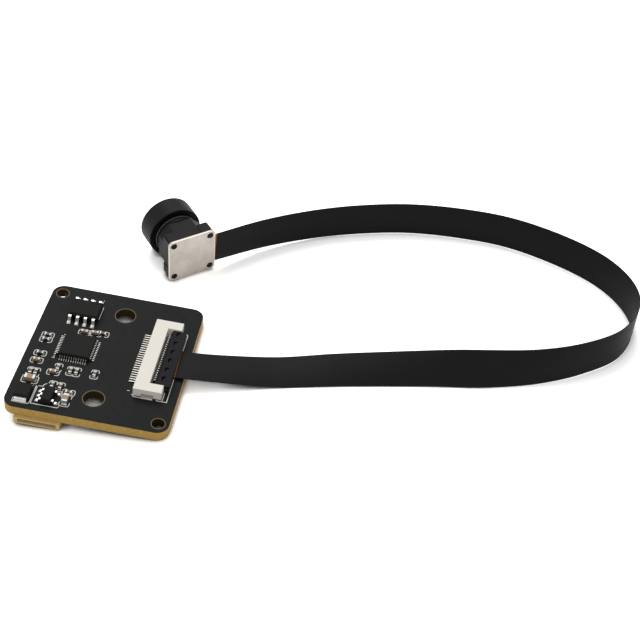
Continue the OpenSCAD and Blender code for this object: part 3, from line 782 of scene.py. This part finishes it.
class Finishes:
    """Every finish of the module."""

    solder_mask = Finish(
        "solder_mask", (24, 25, 26), rough=0.5, specular=0.07, grain=0.25, relief=0.003, edge=0.04,
        dust=0.03, pattern=Pattern.LAMINATE,
    )
    print_ink = Finish("print_ink", (236, 234, 227), rough=0.7, grain=0.08, spread=0.2)
    bare_laminate = Finish("bare_laminate", (112, 92, 52), rough=0.6, spread=0.25)
    cream_plastic = Finish("cream_plastic", (241, 236, 225), rough=0.5, spread=0.02, edge=0.06)
    latch_plastic = Finish(
        "latch_plastic", (22, 23, 27), rough=0.45, specular=0.06, dust=0.02, edge=0.05,
    )
    tinned_contact = Finish(
        "tinned_contact", (176, 173, 166), rough=0.4, metal=0.5, spread=0.12, edge=0.02,
    )
    tinned_lead = Finish(
        "tinned_lead", (206, 204, 199), rough=0.36, metal=1.0, spread=0.1, edge=0.04,
    )
    solder = Finish("solder", (150, 149, 145), rough=0.33, metal=1.0, spread=0.14, grain=0.2)
    chip_epoxy = Finish(
        "chip_epoxy", (32, 32, 31), rough=0.62, specular=0.07, spread=0.16, grain=0.07,
        relief=0.006, edge=0.05,
    )
    capacitor_ceramic = Finish(
        "capacitor_ceramic", (158, 128, 92), rough=0.5, spread=0.12, edge=0.04,
    )
    resistor_glaze = Finish("resistor_glaze", (30, 29, 28), rough=0.3, specular=0.4, edge=0.04)
    ivory_plastic = Finish("ivory_plastic", (208, 180, 120), rough=0.5, spread=0.04, edge=0.06)
    ribbon_film = Finish(
        "ribbon_film", (22, 22, 23), rough=0.5, specular=0.08, spread=0.05, grain=0.5, relief=0.002,
        edge=0.03, pattern=Pattern.FILM,
    )
    steel_plate = Finish(
        "steel_plate", (192, 184, 175), rough=0.42, metal=0.55, spread=0.3, rough_spread=0.1,
        grain=0.16, relief=0.02, edge=0.07, edge_highlight=(226, 220, 210),
    )
    blade_contact = Finish(
        "blade_contact", (196, 193, 185), rough=0.4, metal=0.5, spread=0.12, edge=0.01,
        pattern=Pattern.BLADE,
    )
    end_cap = Finish("end_cap", (158, 155, 149), rough=0.42, metal=0.8, spread=0.16, edge=0.04)
    # pale grey that paints the highlight arc at the collar's edge
    highlight_lip = Finish("highlight_lip", (86, 86, 86), rough=0.35, edge=0.02)
    rolled_edge = Finish(
        "rolled_edge", (206, 199, 190), rough=0.3, metal=1.0, spread=0.05, edge=0.02,
    )
    fine_lead = Finish("fine_lead", (124, 123, 120), rough=0.4, metal=1.0, spread=0.12, edge=0.02)
    tail_film = Finish(
        "tail_film", (196, 118, 40), rough=0.4, spread=0.15, pattern=Pattern.CUT_FILM,
    )
    plate_film = Finish(
        "plate_film", (196, 118, 40), rough=0.4, spread=0.15, pattern=Pattern.SHADED_TOP_FILM,
    )
    sensor_glass = Finish("sensor_glass", (42, 46, 58), rough=0.12, coat=1.0)
    filter_glass = Finish("filter_glass", (190, 226, 232), rough=0.05, glass=1.0)
    holder_plastic = Finish(
        "holder_plastic", (25, 25, 26), rough=0.55, specular=0.1, spread=0.25, grain=0.1,
        relief=0.008, edge=0.06, dust=0.03,
    )
    barrel_black = Finish(
        "barrel_black", (12, 12, 13), rough=0.42, specular=0.1, edge=0.06, edge_highlight=(120, 120,
        120), pattern=Pattern.TURNED,
    )
    lens_glass = Finish("lens_glass", (222, 232, 240), rough=0.02, glass=1.0, spread=0.01, coat=0.4)
    ring_black = Finish(
        "ring_black", (23, 23, 24), rough=0.5, specular=0.09, spread=0.1, grain=0.1, relief=0.006,
        edge=0.08, edge_highlight=(58, 59, 61), dust=0.015, pattern=Pattern.TURNED,
    )

    BY_NODE: dict[str, Finish] = {
        "circuit_board": solder_mask,
        "flex_socket_housing": cream_plastic,
        "flex_socket_latch": latch_plastic,
        "flex_socket_contacts": blade_contact,
        "flex_socket_tabs": tinned_contact,
        "memory_chip_body": chip_epoxy,
        "memory_chip_leads": tinned_lead,
        "controller_chip_body": chip_epoxy,
        "controller_chip_leads": fine_lead,
        "regulator_body": chip_epoxy,
        "regulator_leads": tinned_lead,
        "diode_body": chip_epoxy,
        "diode_terminals": tinned_lead,
        "capacitor_bodies": capacitor_ceramic,
        "resistor_bodies": resistor_glaze,
        "chip_part_ends": end_cap,
        "cable_socket_housing": ivory_plastic,
        "cable_socket_pins": tinned_contact,
        "cable_socket_tabs": tinned_contact,
        "ribbon_tail": tail_film,
        "ribbon": ribbon_film,
        "head_back_plate": steel_plate,
        "head_flex": plate_film,
        "image_sensor": sensor_glass,
        "filter_glass": filter_glass,
        "lens_holder": holder_plastic,
        "lens_barrel": barrel_black,
        "lens_spacer": barrel_black,
        "rear_lens_glass": lens_glass,
        "front_lens_glass": lens_glass,
        "lens_ring": ring_black,
    }

    @classmethod
    def dress(cls, frame: Frame) -> None:
        """Gives every CAD node its finish.

        Args:
            frame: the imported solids.
        """
        for name, node in frame.nodes.items():
            for slot in node.material_slots:
                slot.link = "OBJECT"
                slot.material = cls.BY_NODE[name].material()


# ------------------------------------------------------------------ the ribbon


@dataclass
class Ribbon:
    """The flat ribbon between the board and the head, in millimetres."""

    width: float = 6.0
    thick: float = 0.15
    edge: float = 0.05
    bare_start: float = 0.05
    bare_end: float = 0.022
    steps: int = 10
    origin: Flat = (0.0598, 10.4385)
    route: tuple[tuple[float, float, float, float], ...] = (
        (11, 0.45, 2.1, 0),
        (14, 0.6, 1.95, 0),
        (19.5, 1.6, 1.3, 3),
        (27, 3.2, 0.6, 8),
        (35.5, 5, 0.9, 14),
        (44, 6.5, 1.2, 21),
        (52, 7.6, 1.7, 31),
        (59.5, 7.9, 2.6, 56),
        (67, 9.4, 2.95, 71),
        (74, 12.4, 3.1, 80),
        (80, 17, 3.1, 85),
        (82.9, 23.5, 3.1, 91),
        (81.8, 29.6, 3.1, 98),
        (77.5, 35.3, 3.1, 101),
        (70.3, 39.9, 3.1, 101),
        (61.5, 43.2, 3.1, 99),
        (52.5, 44.2, 3.1, 98),
        (43.6, 43.8, 3.1, 96),
        (35, 41.8, 3.1, 95),
        (27, 38.8, 3.1, 93),
        (19, 34, 3.5, 90),
        (11.4, 27.5, 4.3, 86),
    )

    def _stations(self) -> list[tuple[Vector, float]]:
        """Gives the points along the ribbon's middle, each with its lean in degrees."""
        rows = [Vector(row) for row in self.route]
        rows = [rows[0] * 2 - rows[1], *rows, rows[-1] * 2 - rows[-2]]
        found = []
        for a, b, c, d in zip(rows, rows[1:], rows[2:], rows[3:]):
            for step in range(self.steps):
                t = step / self.steps
                found.append(
                    (
                        b * 2
                        + (c - a) * t
                        + (a * 2 - b * 5 + c * 4 - d) * t**2
                        + (b * 3 - a - c * 3 + d) * t**3
                    )
                    / 2
                )
        found.append(rows[-2])
        shift = Vector((*self.origin, 0))
        return [(row.xyz - shift, row.w) for row in found]

    def build(self) -> bpy.types.Object:
        """Returns:
            The ribbon.
        """
        stations = self._stations()
        middle = [point for point, _ in stations]
        outline = oval(self.width / 2, self.thick / 2, self.edge, 3)
        work = Workpiece(Matrix.Scale(MM, 4))
        rings = []
        for i, (point, lean) in enumerate(stations):
            ahead = middle[min(i + 1, len(middle) - 1)] - middle[max(i - 1, 0)]
            side = Vector((0, 0, 1)).cross(ahead).normalized()
            up = ahead.cross(side).normalized()
            angle = math.radians(lean)
            across = side * math.cos(angle) + up * math.sin(angle)
            out = up * math.cos(angle) - side * math.sin(angle)
            rings.append([point + across * x + out * y for x, y in outline])
        work.loft(rings)
        piece = work.made("ribbon_film", Finishes.ribbon_film, smooth=50)
        self._lay(piece, len(outline))
        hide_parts("ribbon")
        return piece

    def _lay(self, piece: bpy.types.Object, count: int) -> None:
        """Gives the film its coordinates: x along it, y from edge to edge.

        Args:
            piece: the ribbon.
            count: points in each ring.
        """
        data = piece.data
        layer = data.uv_layers.new(name="lay")
        outline = oval(self.width / 2, self.thick / 2, self.edge, 3)
        for loop in data.loops:
            ring, place = divmod(loop.vertex_index, count)
            layer.data[loop.index].uv = (
                ring / self.steps,
                outline[place][0] / self.width,
            )


# ------------------------------------------------------------------ the board


@dataclass
class Board:
    """The board's solder, print and bare laminate, in the board frame's millimetres."""

    frame: Frame
    top: float = BoardPlace.thick
    pad: float = 0.035
    ink: float = 0.02
    ink_width: float = 0.125
    bracket_room: float = 0.33
    bracket_more: float = 0.12
    bracket_corner: float = 0.3
    bracket_step: float = 0.08
    bracket_open: float = 0.3
    bracket_clear: float = 0.14
    fillet_levels: tuple[float, ...] = (0.0, 0.0, 0.12, 0.3, 0.55, 0.8, 1.0)
    rim_profile: tuple[Flat, ...] = (
        (-0.005, -0.05), (-0.005, 0.012), (0.07, 0.016), (0.12, 0.004), (0.12, -0.05)
    )
    via_profile: tuple[Flat, ...] = (
        (0.3, -0.02), (0.28, 0.008), (0.2, 0.016), (0.1, 0.012), (0.05, 0.004)
    )
    via_tries: int = 220
    via_count: int = 70
    via_room: float = 0.5
    via_hole_room: float = 0.9
    via_half_x: float = 11.6
    via_half_y: float = 13.1
    via_strides: Flat = (0.754877666, 0.569840291)
    holes: tuple[tuple[float, float, float], ...] = (
        (0.3, 9.5, 1.6),
        (0.3, -9.5, 1.6),
        (-10.8, 12.1, 1.0),
        (10.8, -12.1, 1.0),
    )
    lines: tuple[tuple[Flat, ...], ...] = (
        ((10.75, 7.75), (11.0, 7.5), (11.0, 3.85)),
        ((11.0, -2.56), (11.0, -7.64), (9.34, -7.64)),
        ((7.0, -7.64), (5.9, -7.64), (5.54, -7.2)),
        ((10.3, -5.74), (10.3, -7.64)),
        ((4.7, -6.6), (5.05, -6.6)),
        ((-3.55, 10.45), (-3.55, 7.56)),
        ((-3.95, 11.95), (-3.8, 12.05)),
        ((-7.95, -2.45), (-7.95, -2.05)),
        ((-8.2, -2.6), (-7.75, -2.6)),
        ((-2.42, 2.45), (-2.42, 2.85)),
        ((-8.42, -9.15), (-8.42, -12.69), (-4.4, -12.69), (-4.17, -12.4)),
        ((-8.6, -9.0), (-8.6, -12.5), (-8.75, -12.88), (-11.17, -12.88), (-11.17, -11.6)),
        ((-7.2, -8.2), (-7.6, -8.6), (-7.6, -8.9), (-8.3, -9.0)),
    )

    def build(self) -> None:
        """Builds everything on the board."""
        self._rims()
        self._joints()
        self._print()
        self._vias()

    def _rims(self) -> None:
        """Bares a thin ring of laminate round each hole."""
        work = Workpiece(self.frame.board)
        for x, y, radius in self.holes:
            for face, out in ((self.top, 1), (0.0, -1)):
                profile = [(radius + r, face + z * out) for r, z in self.rim_profile]
                work.turned((x, y), profile, 48, looped=True)
        work.made("hole_rims", Finishes.bare_laminate)

    # -------------------------------------------------------------- solder

    def _joint(
        self,
        work: Workpiece,
        foot: Box,
        away: Flat,
        reach: float,
        flare: float,
        height: float,
        under: bool = False,
    ) -> None:
        """Solders one foot to its pad: a low pad and a hollow fillet up the foot's end.

        Args:
            work: the mesh that it is added to.
            foot: the foot's box.
            away: unit direction out of the part.
            reach: how far the pad stands out past the foot.
            flare: how far the pad stands out at the foot's sides.
            height: how far the solder climbs.
            under: true where the foot is on the board's underside.
        """
        face, out = (0.0, -1) if under else (self.top, 1)
        along = 0 if away[0] else 1
        sign = away[along]
        rings = []
        for level in self.fillet_levels:
            grow = (1 - level) ** 2
            low = [foot.low.x, foot.low.y]
            high = [foot.high.x, foot.high.y]
            side = flare * grow
            low[1 - along] -= side
            high[1 - along] += side
            if sign > 0:
                high[along] += reach * grow
            else:
                low[along] -= reach * grow
            half = [(high[i] - low[i]) / 2 for i in range(2)]
            centre = tuple((high[i] + low[i]) / 2 for i in range(2))
            rise = self.pad + (height - self.pad) * level
            z = face + out * (rise if rings else -0.01)
            rings.append(raised(oval(*half, 0.09, 2), centre, z))
        work.loft(rings)

    def _joints(self) -> None:
        """Solders every foot, end and contact of the board."""
        board = self.frame.board
        for node, chip, reach, flare, foot_part in (
            ("memory_chip_leads", "memory_chip_body", 0.2, 0.08, 0.5),
            ("controller_chip_leads", "controller_chip_body", 0.1, 0.01, 0.5),
            ("regulator_leads", "regulator_body", 0.2, 0.06, 0.55),
            ("diode_terminals", "diode_body", 0.16, 0.08, 0.6),
        ):
            work = Workpiece(board)
            body = self.frame.solids(chip, board)[0]
            for lead in self.frame.solids(node, board):
                away = self._away(body, lead)
                foot = self._foot(lead, away, foot_part)
                self._joint(work, foot, away, reach, flare, 0.13)
            name = node.replace("leads", "solder").replace("terminals", "solder")
            work.made(name, Finishes.solder)
        self._part_joints()
        self._socket_joints()

    @staticmethod
    def _away(body: Box, end: Box) -> Flat:
        """Gives the unit direction from a part's body to one of its ends."""
        step = end.centre - body.centre
        reach = [step[i] / (body.size[i] / 2 + 1e-9) for i in range(2)]
        along = 0 if abs(reach[0]) > abs(reach[1]) else 1
        sign = math.copysign(1.0, step[along])
        return (sign, 0.0) if along == 0 else (0.0, sign)

    @staticmethod
    def _foot(lead: Box, away: Flat, part: float) -> Box:
        """Gives the outer part of a lead's box, where its foot is."""
        low, high = lead.low.copy(), lead.high.copy()
        along = 0 if away[0] else 1
        length = lead.size[along] * part
        if away[along] > 0:
            low[along] = high[along] - length
        else:
            high[along] = low[along] + length
        return Box(low, high)

    def _parts(self) -> list[tuple[Box, list[Box]]]:
        """Gives each small part's body with its two ends."""
        board = self.frame.board
        ends = self.frame.solids("chip_part_ends", board)
        parts = []
        for node in ("capacitor_bodies", "resistor_bodies"):
            for body in self.frame.solids(node, board):
                near = sorted(ends, key=lambda end, b=body: (end.centre - b.centre).length)
                parts.append((body, near[:2]))
        return parts

    def _part_joints(self) -> None:
        """Solders both ends of every small part."""
        work = Workpiece(self.frame.board)
        for body, ends in self._parts():
            for end in ends:
                large = end.size.x * end.size.y > 0.3
                reach = 0.22 if large else 0.15
                away = self._away_from_pair(body, end)
                self._joint(work, end, away, reach, 0.03, end.size.z * 0.5)
        work.made("chip_part_solder", Finishes.solder)

    @staticmethod
    def _away_from_pair(body: Box, end: Box) -> Flat:
        """Gives the direction from a small part's middle to its end."""
        step = end.centre - body.centre
        if abs(step.x) > abs(step.y):
            return (math.copysign(1.0, step.x), 0.0)
        return (0.0, math.copysign(1.0, step.y))

    def _socket_joints(self) -> None:
        """Solders both sockets' contacts and tabs."""
        board = self.frame.board
        work = Workpiece(board)
        for contact in self.frame.solids("flex_socket_contacts", board):
            foot = self._foot(contact, (-1.0, 0.0), 0.12)
            self._joint(work, foot, (-1.0, 0.0), 0.08, 0.01, 0.09)
        housing = self.frame.solids("flex_socket_housing", board)[0]
        for tab in self.frame.solids("flex_socket_tabs", board):
            sign = math.copysign(1.0, tab.centre.y - housing.centre.y)
            foot = self._foot(tab, (0.0, sign), 0.35)
            self._joint(work, foot, (0.0, sign), 0.12, 0.05, 0.12)
        work.made("flex_socket_solder", Finishes.solder)
        work = Workpiece(board)
        housing = self.frame.solids("cable_socket_housing", board)[0]
        for node in ("cable_socket_pins", "cable_socket_tabs"):
            for pin in self.frame.solids(node, board):
                away = self._away(housing, pin)
                foot = self._foot(pin, away, 0.3)
                self._joint(work, foot, away, 0.15, 0.05, 0.1, under=True)
        work.made("cable_socket_solder", Finishes.solder)

    # -------------------------------------------------------------- print

    def _print(self) -> None:
        """Prints the outlines round the parts; no letters."""
        work = Workpiece(self.frame.board)
        low, high = self.top - 0.01, self.top + self.ink
        for route in self.lines:
            work.line(route, self.ink_width, low, high)
        parts = self._parts()
        grounds = [body.joined(ends[0]).joined(ends[1]) for body, ends in parts]
        for node in (
            "memory_chip_body",
            "controller_chip_body",
            "regulator_body",
            "regulator_leads",
            "diode_terminals",
            "diode_body",
        ):
            grounds += self.frame.solids(node, self.frame.board)
        for ground in grounds[: len(parts)]:
            others = [g for g in grounds if g is not ground]
            for route in self._brackets(ground, others):
                work.line(route, self.ink_width, low, high)
        work.made("board_print", Finishes.print_ink)

    def _brackets(self, ground: Box, others: Sequence[Box]) -> list[list[Flat]]:
        """Gives the two brackets round a small part, cut where a neighbour is.

        Args:
            ground: the part's box.
            others: its neighbours' boxes.

        Returns:
            The printed lines.
        """
        along = 0 if ground.size.x > ground.size.y else 1
        half = [ground.size[i] / 2 + self.bracket_room for i in range(2)]
        half[along] += self.bracket_more
        centre = ground.centre
        outline = oval(*half, self.bracket_corner, 3)
        fine = []
        for one, two in zip(outline, outline[1:] + outline[:1]):
            count = max(1, round(math.dist(one, two) / self.bracket_step))
            for step in range(count):
                t = step / count
                fine.append(tuple(one[i] + (two[i] - one[i]) * t for i in range(2)))
        kept = []
        for point in fine:
            place = (centre.x + point[0], centre.y + point[1])
            open_side = abs(point[along]) < self.bracket_open * half[along]
            hidden = any(other.holds(place, self.bracket_clear) for other in others)
            kept.append(None if open_side or hidden else place)
        start = next((i for i, point in enumerate(kept) if point is None), 0)
        routes: list[list[Flat]] = [[]]
        for point in kept[start:] + kept[:start]:
            if point is None:
                routes.append([])
            else:
                routes[-1].append(point)
        return [route for route in routes if len(route) > 3]

    def _vias(self) -> None:
        """Raises the covered vias of the board's tracks, as low domes with a dimple."""
        work = Workpiece(self.frame.board)
        blocked = []
        for node in self.frame.nodes:
            skip = ("ribbon", "head", "lens", "image", "filter", "front", "rear")
            if node.startswith(skip) or node == "circuit_board":
                continue
            blocked += self.frame.solids(node, self.frame.board)
        spots = []
        for i in range(self.via_tries):
            x = -self.via_half_x + 2 * self.via_half_x * ((i * self.via_strides[0]) % 1)
            y = -self.via_half_y + 2 * self.via_half_y * ((i * self.via_strides[1]) % 1)
            clear = not any(box.holds((x, y), self.via_room) for box in blocked)
            open_board = all(
                math.dist((x, y), (hx, hy)) > radius + self.via_hole_room
                for hx, hy, radius in self.holes
            )
            if clear and open_board:
                spots.append((x, y))
        profile = [(r, self.top + z) for r, z in self.via_profile]
        for spot in spots[: self.via_count]:
            work.turned(spot, profile, 14)
        work.made("covered_vias", Finishes.solder_mask, smooth=60)


# ------------------------------------------------------------------ the head


@dataclass
class Head:
    """The details of the camera head, in the head frame's millimetres."""

    frame: Frame
    pin_place: float = 3.35
    plate_half: float = 4.3
    plate_corner: float = 0.8
    roll_radius: float = 0.07
    roll_flat: float = 0.6
    roll_base: float = 0.005
    roll_foot: float = 0.05
    roll_steps: int = 6
    pin_profile: tuple[Flat, ...] = (
        (0.5, 0.05),
        (0.52, -0.08),
        (0.47, -0.14),
        (0.36, -0.17),
        (0.24, -0.16),
        (0.16, -0.12),
        (0.06, -0.1),
    )
    rim_profile: tuple[Flat, ...] = (
        (0.53, 0.02), (0.55, -0.03), (0.61, -0.045), (0.67, -0.03), (0.69, 0.02)
    )
    lip_profile: tuple[Flat, ...] = (
        (3.66, 6.22), (3.71, 6.13), (3.78, 6.13), (3.81, 6.2), (3.76, 6.3)
    )

    def build(self) -> None:
        """Builds the head's details."""
        self._pins()
        self._plate_edge()
        self._collar_lip()

    def _pins(self) -> None:
        """Heads the four pins over the plate, with a dimple in each."""
        heads = Workpiece(self.frame.head)
        rims = Workpiece(self.frame.head)
        for sx in (-1, 1):
            for sy in (-1, 1):
                centre = (sx * self.pin_place, sy * self.pin_place)
                heads.turned(centre, self.pin_profile, 32)
                rims.turned(centre, self.rim_profile, 40, looped=True)
        heads.made("pin_heads", Finishes.holder_plastic, smooth=60)
        rims.made("pin_hole_rims", Finishes.steel_plate, smooth=60)

    def _plate_edge(self) -> None:
        """Rolls the plate's outer edge."""
        work = Workpiece(self.frame.head)
        rings = []
        for step in range(self.roll_steps + 1):
            angle = math.pi * step / self.roll_steps
            inset = self.roll_radius * (1 - math.cos(angle))
            z = self.roll_base - self.roll_radius * self.roll_flat * math.sin(angle)
            half = self.plate_half - inset
            rings.append(raised(oval(half, half, self.plate_corner - inset, 6), (0, 0), z))
        outer, inner = (
            [(x, y, self.roll_foot) for x, y, _ in ring] for ring in (rings[0], rings[-1])
        )
        rings = [outer, *rings, inner]
        work.loft(rings, looped=True)
        work.made("plate_edge", Finishes.rolled_edge, smooth=70)

    def _collar_lip(self) -> None:
        """Turns the thin lip at the collar's edge; its pale grey is a painted highlight, the bright
        arc seen there.
        """
        work = Workpiece(self.frame.head)
        work.turned((0, 0), self.lip_profile, 96, looped=True)
        work.made("collar_lip", Finishes.highlight_lip, smooth=70)


# ------------------------------------------------------------------ the studio


@dataclass
class Lamp:
    """One soft lamp: where it stands, how large it is and its power in watts."""

    name: str
    at: Point
    size: float
    power: float

    def build(self, target: Vector) -> None:
        """Makes the lamp.

        Args:
            target: the point that it is aimed at.
        """
        data = bpy.data.lights.new(self.name, "AREA")
        data.shape = "DISK"
        data.size = self.size
        data.energy = self.power
        lamp = bpy.data.objects.new(self.name, data)
        lamp.location = self.at
        lamp.rotation_euler = (target - Vector(self.at)).to_track_quat("-Z", "Y").to_euler()
        bpy.context.scene.collection.objects.link(lamp)


@dataclass
class Studio:
    """The floor, the light and the camera."""

    lens: float = 68.625
    camera_at: Point = (0.04516, -0.14368, 0.13474)
    azimuth: float = 5.31
    elevation: float = 41.73
    roll: float = 3.63
    sky: float = 0.4
    floor_gain: float = 2.25
    # the floor's painted contact shadow: how far it reaches, how dark it gets, and the occlusion
    # span it spreads over
    contact_reach: float = 1.6
    painted_contact_shadow: float = 0.1
    contact_span: Flat = (0.3, 0.85)
    floor_half: float = 4.0
    floor_drop: float = 0.00003
    lamps: tuple[Lamp, ...] = (
        Lamp("back_lamp", (-0.12, 0.42, 0.6), 0.5, 2.3),
        Lamp("left_lamp", (-0.55, -0.05, 0.45), 0.45, 0.5),
        Lamp("front_lamp", (0.25, -0.6, 0.5), 0.6, 1.0),
    )

    def camera(self) -> None:
        """Makes the camera."""
        data = bpy.data.cameras.new("camera")
        data.lens = self.lens
        data.sensor_width = 36.0
        camera = bpy.data.objects.new("camera", data)
        turn = Matrix.Rotation(math.radians(self.azimuth), 4, "Z")
        tip = Matrix.Rotation(math.radians(90 - self.elevation), 4, "X")
        roll = Matrix.Rotation(math.radians(self.roll), 4, "Z")
        camera.matrix_world = Matrix.Translation(self.camera_at) @ turn @ tip @ roll
        bpy.context.scene.collection.objects.link(camera)
        bpy.context.scene.camera = camera

    def build(self) -> None:
        """Makes the floor, the lamps and the world."""
        scene = bpy.context.scene
        scene.view_settings.view_transform = "Standard"
        low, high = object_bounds()
        for lamp in self.lamps:
            lamp.build((low + high) / 2)
        self._floor()
        self._world()

    def _floor(self) -> None:
        """Makes the pale floor, with a contact shadow painted into its colour where ambient
        occlusion finds the module close by.
        """
        mesh = bmesh.new()
        outline = ((-1, -1), (1, -1), (1, 1), (-1, 1))
        half, drop = self.floor_half, self.floor_drop
        corners = [(x * half, y * half, -drop) for x, y in outline]
        mesh.faces.new([mesh.verts.new(corner) for corner in corners])
        data = bpy.data.meshes.new("floor")
        mesh.to_mesh(data)
        mesh.free()
        floor = bpy.data.objects.new("floor", data)
        bpy.context.scene.collection.objects.link(floor)
        material = bpy.data.materials.new("finish_floor")
        material.use_nodes = True
        material.node_tree.nodes.clear()
        wiring = Wiring(material.node_tree)
        seen = self._seen(wiring)
        white = (0.8, 0.8, 0.8, 1)
        bright = (self.floor_gain,) * 3 + (1,)
        dim = (self.floor_gain * self.painted_contact_shadow,) * 3 + (1,)
        nearby = {"Color": (1, 1, 1, 1), "Distance": self.contact_reach * MM}
        # painted contact shadow: the floor is darkened where ambient occlusion finds the module
        # close by
        open_sky = wiring.add("AmbientOcclusion", nearby, samples=8).outputs["AO"]
        bright = wiring.mix(wiring.span(open_sky, *self.contact_span), dim, bright)
        color = wiring.mix(seen, white, bright)
        shader = wiring.add("BsdfDiffuse", {"Color": color})
        wiring.add("OutputMaterial", {"Surface": shader.outputs[0]})
        data.materials.append(material)
        floor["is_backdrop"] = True

    @staticmethod
    def _seen(wiring: Wiring) -> Any:
        """Gives 1 for the rays that show the background itself."""
        path = wiring.add("LightPath").outputs
        seen = wiring.math("MAXIMUM", path["Is Camera Ray"], path["Is Glossy Ray"])
        return wiring.math("MAXIMUM", seen, path["Is Transmission Ray"])

    def _world(self) -> None:
        """Makes the white surroundings."""
        world = bpy.data.worlds.new("surroundings")
        world.use_nodes = True
        world.node_tree.nodes.clear()
        wiring = Wiring(world.node_tree)
        color = wiring.mix(self._seen(wiring), (self.sky,) * 3 + (1,), (1, 1, 1, 1))
        back = wiring.add("Background", {"Color": color, "Strength": 1.0})
        wiring.add("OutputWorld", {"Surface": back.outputs[0]})
        bpy.context.scene.world = world


def main() -> None:
    """Builds the dressed module, piece by piece."""
    frame = Frame()
    studio = Studio()
    studio.camera()
    Ribbon().build()
    Finishes.dress(frame)
    Board(frame).build()
    Head(frame).build()
    studio.build()


if __name__ == "__main__":
    logging.basicConfig(level=logging.INFO, format="%(name)s: %(message)s")
    main()
